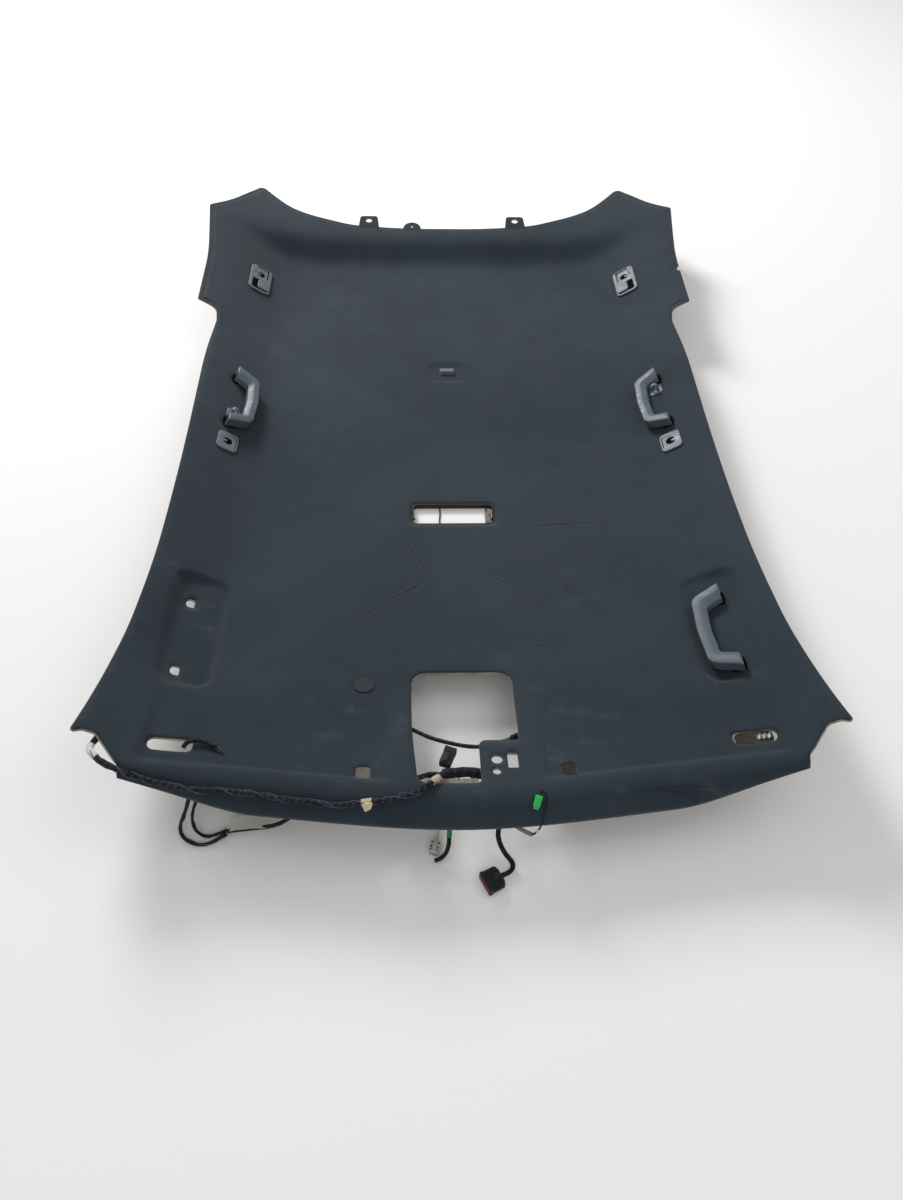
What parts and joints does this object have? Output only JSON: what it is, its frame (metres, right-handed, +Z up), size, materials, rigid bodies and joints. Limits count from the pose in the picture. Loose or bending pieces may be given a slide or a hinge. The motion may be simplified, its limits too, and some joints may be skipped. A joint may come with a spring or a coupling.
{
  "type": "car headliner panel",
  "caption": "Moulded car roof lining with three swinging grab handles, rear brackets, openings for the console, dome lamp and visors, and its wiring harness.",
  "frame": {"origin": "middle of the panel in plan, on the surface that its roof side rests on", "axes": "+Z up out of the cabin side, +Y to the rear of the car, +X to the right in the picture"},
  "size_m": [1.321, 2.1524, 0.1723],
  "materials": {
    "brown_plastic": "matte",
    "dark_plastic": "matte",
    "green_plastic": "matte",
    "grey_foam": "foam",
    "grey_plastic": "satin",
    "knit_fabric": "matte knit over a moulded fibre sheet",
    "pale_sleeve": "matte",
    "steel_pin": "bright",
    "white_plastic": "matte",
    "white_tape": "cloth tape",
    "wrapped_loom": "cloth tape over wires"
  },
  "bodies": {
    "panel": {"bundle_branch": "wrapped_loom", "bundle_connector": "dark_plastic", "centre_clip": "dark_plastic", "coat_hook_left": "grey_plastic", "coat_hook_right": "grey_plastic", "console_lead": "wrapped_loom", "dome_clip_left": "dark_plastic", "dome_clip_right": "dark_plastic", "dome_lead_left": "wrapped_loom", "dome_lead_right": "wrapped_loom", "dome_retainer": "brown_plastic", "felt_pad": "grey_foam", "floor_connector_black": "dark_plastic", "floor_connector_grey": "white_plastic", "foam_sleeve": "grey_foam", "handle_foot_front_right_a": "dark_plastic", "handle_foot_front_right_b": "dark_plastic", "handle_foot_rear_left_a": "dark_plastic", "handle_foot_rear_left_b": "dark_plastic", "handle_foot_rear_right_a": "dark_plastic", "handle_foot_rear_right_b": "dark_plastic", "handle_pin_front_right_a": "steel_pin", "handle_pin_front_right_b": "steel_pin", "handle_pin_rear_left_a": "steel_pin", "handle_pin_rear_left_b": "steel_pin", "handle_pin_rear_right_a": "steel_pin", "handle_pin_rear_right_b": "steel_pin", "harness_bundle": "wrapped_loom", "harness_link": "wrapped_loom", "harness_trunk": "wrapped_loom", "headliner_panel": "knit_fabric", "hole_plug": "dark_plastic", "lead_floor_black": "wrapped_loom", "lead_green": "wrapped_loom", "lead_grey_left": "wrapped_loom", "lead_white_left": "pale_sleeve", "loop_inner": "wrapped_loom", "loop_outer": "wrapped_loom", "loop_tag": "white_tape", "loop_tail": "wrapped_loom", "net_anchor_left": "grey_plastic", "net_anchor_right": "grey_plastic", "net_hook_pad_left": "grey_plastic", "net_hook_pad_right": "grey_plastic", "pillar_connector": "dark_plastic", "rear_bracket_left": "grey_plastic", "rear_bracket_right": "grey_plastic", "roll_connector_green": "green_plastic", "visor_bracket_right": "dark_plastic", "visor_clip_right": "brown_plastic", "visor_contact_right": "steel_pin", "visor_stub": "wrapped_loom"},
    "handle_front_right": {"grab_handle_front_right": "grey_plastic"},
    "handle_rear_left": {"grab_handle_rear_left": "grey_plastic"},
    "handle_rear_right": {"grab_handle_rear_right": "grey_plastic"}
  },
  "joints": [
    {"name": "handle_front_right_swing", "type": "hinge", "parent": "panel", "child": "handle_front_right", "pos_m": [0.48966, -0.64941, 0.09197], "axis": [0, 0.9982, -0.0596], "range_deg": [0, 80], "stiffness_Nm_per_rad": 0.15},
    {"name": "handle_rear_left_swing", "type": "hinge", "parent": "panel", "child": "handle_rear_left", "pos_m": [-0.4996, 0.06801, 0.07381], "axis": [0, -1, 0.0011], "range_deg": [0, 80], "stiffness_Nm_per_rad": 0.15},
    {"name": "handle_rear_right_swing", "type": "hinge", "parent": "panel", "child": "handle_rear_right", "pos_m": [0.4996, 0.06801, 0.07381], "axis": [0, 1, -0.0011], "range_deg": [0, 80], "stiffness_Nm_per_rad": 0.15}
  ]
}
